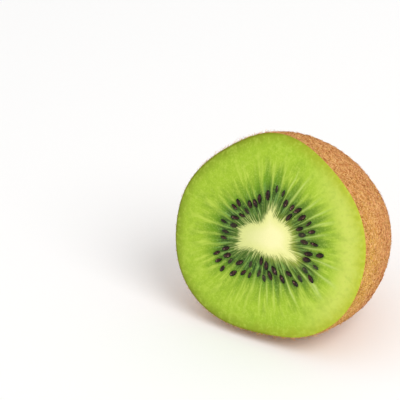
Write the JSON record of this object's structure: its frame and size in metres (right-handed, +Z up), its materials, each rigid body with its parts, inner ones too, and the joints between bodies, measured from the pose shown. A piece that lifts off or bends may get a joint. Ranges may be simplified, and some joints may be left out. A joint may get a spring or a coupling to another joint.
{
  "type": "kiwi fruit half",
  "caption": "Half of a kiwi fruit cut across the middle, with green flesh, a ring of dark seeds, a pale core and brown fuzzy skin, resting on its side.",
  "frame": {"origin": "on the floor under the middle of the half's bounding box, at rest on its side", "axes": "+Z up; the cut face looks along -Y and 20 degrees up; the stalk end points to +Y and down; +X is to the right seen from the cut face"},
  "size_m": [0.0548, 0.0426, 0.0504],
  "materials": {
    "flesh": "moist bright green fruit flesh, brown skin with short golden hairs on the outside, near-black glossy seeds",
    "core": "moist creamy white, finely fibrous towards its edge"
  },
  "bodies": {
    "root": {"flesh": "flesh", "core": "core"}
  },
  "joints": []
}
